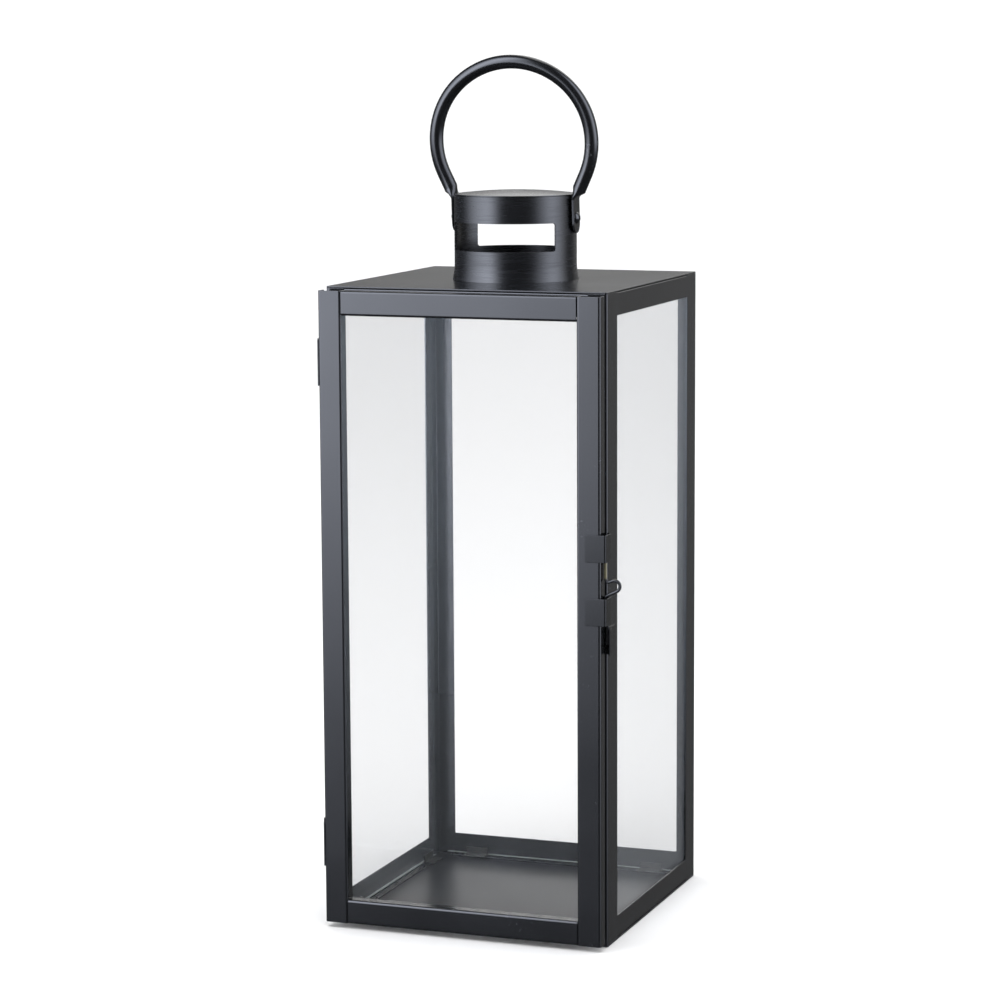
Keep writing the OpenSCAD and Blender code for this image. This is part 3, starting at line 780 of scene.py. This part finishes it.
class LANTERN_OT_handle(bpy.types.Operator):
    """Bends the tube handle, flattens its ends and hangs it on its rivets"""

    bl_idname = "lantern.handle"
    bl_label = "Handle"

    def execute(self, context):
        size = context.scene.lantern_handle
        tube = self.bend_half(size)
        bevel(tube, edges().fitting, 2)
        apply_modifier(tube, "MIRROR", use_clip=True, merge_threshold=0.01 * MM)
        self.bore(tube, size)
        make_active(tube)
        bpy.ops.object.mode_set(mode="EDIT")
        leave_edit(tube, SHARP)
        rivet_line = next(j for j in frame["joints"] if j["name"] == "handle_swing")
        tube.location = rivet_line["pos_m"]
        tube.rotation_euler.x = size.lean
        make_active(tube)
        bpy.ops.object.transform_apply(location=True, rotation=True, scale=True)
        coat = coated_steel(
            "satin_powder_coat_on_tube", colours().handle, roughness=0.22, peel_mm=0.6,
            depth_mm=0.015,
        )
        finish_piece(tube, "handle_tube", "carry_handle", coat)
        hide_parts("handle")
        return {"FINISHED"}

    def bend_half(self, size):
        """The right half of the loop, from the top of its crown to its flattened end."""
        # Two arcs, which join at an angle over the level: a wide crown, then a side that
        # turns on past the widest place until the arm leans in
        crown_turn = 40
        side_turn = 90 - crown_turn + math.degrees(size.arm_angle)
        join = math.radians(90 - crown_turn)
        sine, cosine = math.sin(size.arm_angle), math.cos(size.arm_angle)
        shift = size.flat / (math.cos(join) + math.sin(join) - 1)
        side_x = shift * math.cos(join)
        side_r = size.half_width - side_x
        crown_r = side_r + shift
        crown_z = size.rise - shift * math.sin(join)
        arm_end = size.strap_top + size.crimp
        arm_run = (size.rise - side_r * sine - arm_end) / cosine
        tube = start_stock(size.tube / 2, 32, (0, 0, crown_z + crown_r), (0, math.pi / 2, 0))
        bend((0, 0, crown_z), (0, 1, 0), crown_turn)
        bend((side_x, 0, size.rise), (0, 1, 0), side_turn)
        run((-arm_run * sine, 0, -arm_run * cosine))

        # The press turns the tube upright as it flattens it
        steps = 10
        arm_in = side_x + side_r * cosine - arm_run * sine - size.tube / 2 * cosine
        x_now = arm_in + size.tube / 2 * cosine
        for number in range(1, steps + 1):
            along = number / steps
            press = along * along * (3 - 2 * along)
            thick = size.tube + (size.strap_thick - size.tube) * press
            wide = size.tube + (size.strap_width - size.tube) * press
            turn = size.arm_angle * (1 - press)
            inner = arm_in + (size.strap_in - arm_in) * press
            x_next = inner + thick / 2 * math.cos(turn)
            run((0, 0, 0))
            size_ring(
                tube, (thick * math.cos(turn), wide, thick * math.sin(turn)),
                (x_next - x_now, 0, -size.crimp / steps), max(0.0, 2 * press - 1),
            )
            x_now = x_next

        # The strap's foot is round, in rows that come closer together as it narrows
        round_z = size.strap_width / 2 - size.strap_tail
        run((0, 0, round_z - size.strap_top))
        before = 0.0
        for degrees in (12, 24, 36, 48, 60, 70, 79, 86):
            angle = math.radians(degrees)
            run((0, 0, 0))
            size_ring(
                tube, (size.strap_thick, size.strap_width * math.cos(angle), 0),
                (0, 0, -size.strap_width / 2 * (math.sin(angle) - before)),
            )
            before = math.sin(angle)
        bpy.ops.mesh.edge_face_add()
        leave_edit(tube, SHARP)
        return tube

    def bore(self, tube, size):
        """Drills both flattened ends for the rivets."""
        deselect()
        bpy.ops.mesh.primitive_cylinder_add(
            vertices=48, radius=size.rivet_bore / 2, depth=4 * size.half_width,
            rotation=(0, math.pi / 2, 0),
        )
        drill = bpy.context.object
        bpy.ops.object.transform_apply(location=True, rotation=True, scale=True)
        apply_modifier(tube, "BOOLEAN", object=drill, operation="DIFFERENCE", solver="EXACT")
        bpy.data.objects.remove(drill)


class LANTERN_OT_hinges(bpy.types.Operator):
    """Dresses the leaves, knuckles and pins of both hinges"""

    bl_idname = "lantern.hinges"
    bl_label = "Hinges"

    def execute(self, context):
        paint = coated_steel(
            "painted_hinge_steel", colours().fittings, roughness=0.24, peel_mm=0.5,
            depth_mm=0.015,
        )
        dress(HINGE_PARTS, "_rolled", edges().fitting, paint, SHARP_ON_ROUND)
        return {"FINISHED"}


class LANTERN_OT_latch(bpy.types.Operator):
    """Dresses the clips and the keeper, and bends the wire bolt that slides in them"""

    bl_idname = "lantern.latch"
    bl_label = "Latch"

    def execute(self, context):
        paint = coated_steel(
            "painted_clip_steel", colours().fittings, roughness=0.22, peel_mm=0.5,
            depth_mm=0.015, refraction=1.41,
        )
        dress(LATCH_PARTS, "_pressed", edges().clip, paint, SHARP_ON_ROUND)
        wire, loop_top = self.bend_wire(context.scene.lantern_wire)
        clip_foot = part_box("latch_clip_upper")[0][2]
        coat = rubbed_wire(
            "rubbed_latch_wire", colours().wire_coat, colours().wire_bare, loop_top, clip_foot
        )
        finish_piece(wire, "latch_bolt_wire", "bolt", coat)
        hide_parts("latch_bolt")
        return {"FINISHED"}

    def bend_wire(self, size):
        """Bends the wire from the foot of its tail up, and says where its loop ends."""
        low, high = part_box("latch_bolt")
        radius = size.wire / 2
        x, front = low[0] + radius, low[1] + radius
        back = front + size.step
        dome = sum(rise for rise, _ in DOME_STEPS) * radius
        sides = 16

        wire = start_stock(radius, sides, (x, back, low[2] + dome), (0, 0, 0))
        # The tail runs up, and the wire then steps forward in two easy bends
        # and is upright again a little under the thumb loop
        corner_low = size.thumb_place - size.step_height
        corner_high = size.thumb_place - 0.25 * size.step_bend
        lean = math.atan2(size.step, corner_high - corner_low)
        reach = size.step_bend * math.tan(lean / 2)
        slope = math.hypot(size.step, corner_high - corner_low) - 2 * reach
        run((0, 0, corner_low - reach - low[2] - dome))
        bend((x, back - size.step_bend, corner_low - reach), (1, 0, 0), math.degrees(lean))
        run((0, -slope * math.sin(lean), slope * math.cos(lean)))
        bend((x, front + size.step_bend, corner_high + reach), (1, 0, 0), -math.degrees(lean))
        run((0, 0, size.thumb_place - corner_high - reach))

        # The thumb loop leaves the wire, turns right round and comes back to it
        tilt = math.degrees(size.thumb_tilt)
        sine, cosine = math.sin(size.thumb_tilt), math.cos(size.thumb_tilt)
        corner = size.thumb_bend
        loop_r = size.thumb_width / 2 - radius
        across = corner + loop_r
        out = size.thumb_out - radius - loop_r
        forth = (out - corner + across * sine) / cosine
        again = forth - 2 * across * sine / cosine
        loop_z = size.thumb_place + across * cosine + forth * sine
        loop_top = size.thumb_place + 2 * across / cosine
        bend((x + corner, front, size.thumb_place), (0, 1, 0), 90 - tilt, step=8)
        run((forth * cosine, 0, forth * sine))
        bend((x + out, front, loop_z), (0, 1, 0), -180, step=8)
        run((-again * cosine, 0, -again * sine))
        bend((x + corner, front, loop_top), (0, 1, 0), 90 + tilt, step=8)
        run((0, 0, high[2] - dome - loop_top))
        dome_end(wire, radius, 1)
        # The tail's foot is still the first ring
        pick(wire, range(sides))
        dome_end(wire, radius, -1)
        leave_edit(wire, SMOOTH)
        return wire, loop_top


class LANTERN_PT_sidebar(bpy.types.Panel):
    """Lists the lantern's pieces and their colours and sizes"""

    bl_label = "Candle Lantern"
    bl_idname = "LANTERN_PT_sidebar"
    bl_space_type = "VIEW_3D"
    bl_region_type = "UI"
    bl_category = "Lantern"

    def draw(self, context):
        layout = self.layout
        for operator in OPERATORS:
            layout.operator(operator.bl_idname)
        scene = context.scene
        for group in (
            scene.lantern_colours, scene.lantern_edges, scene.lantern_handle,
            scene.lantern_wire, scene.lantern_studio,
        ):
            box = layout.box()
            for key in group.bl_rna.properties.keys():
                if key not in {"rna_type", "name"}:
                    box.prop(group, key)


OPERATORS = (
    LANTERN_OT_studio,
    LANTERN_OT_sheet_parts,
    LANTERN_OT_panes,
    LANTERN_OT_tabs,
    LANTERN_OT_chimney,
    LANTERN_OT_handle,
    LANTERN_OT_hinges,
    LANTERN_OT_latch,
)
GROUPS = {
    "lantern_colours": LanternColours,
    "lantern_edges": LanternEdges,
    "lantern_handle": LanternHandle,
    "lantern_wire": LanternWire,
    "lantern_studio": LanternStudio,
}
CLASSES = (*GROUPS.values(), *OPERATORS, LANTERN_PT_sidebar)


def register():
    for cls in CLASSES:
        bpy.utils.register_class(cls)
    for name, group in GROUPS.items():
        setattr(bpy.types.Scene, name, bpy.props.PointerProperty(type=group))


def unregister():
    for name in GROUPS:
        delattr(bpy.types.Scene, name)
    for cls in reversed(CLASSES):
        bpy.utils.unregister_class(cls)


def main():
    register()
    bpy.ops.lantern.studio()
    bpy.ops.lantern.sheet_parts()
    bpy.ops.lantern.panes()
    bpy.ops.lantern.tabs()
    bpy.ops.lantern.chimney()
    bpy.ops.lantern.handle()
    bpy.ops.lantern.hinges()
    bpy.ops.lantern.latch()


if __name__ == "__main__":
    main()
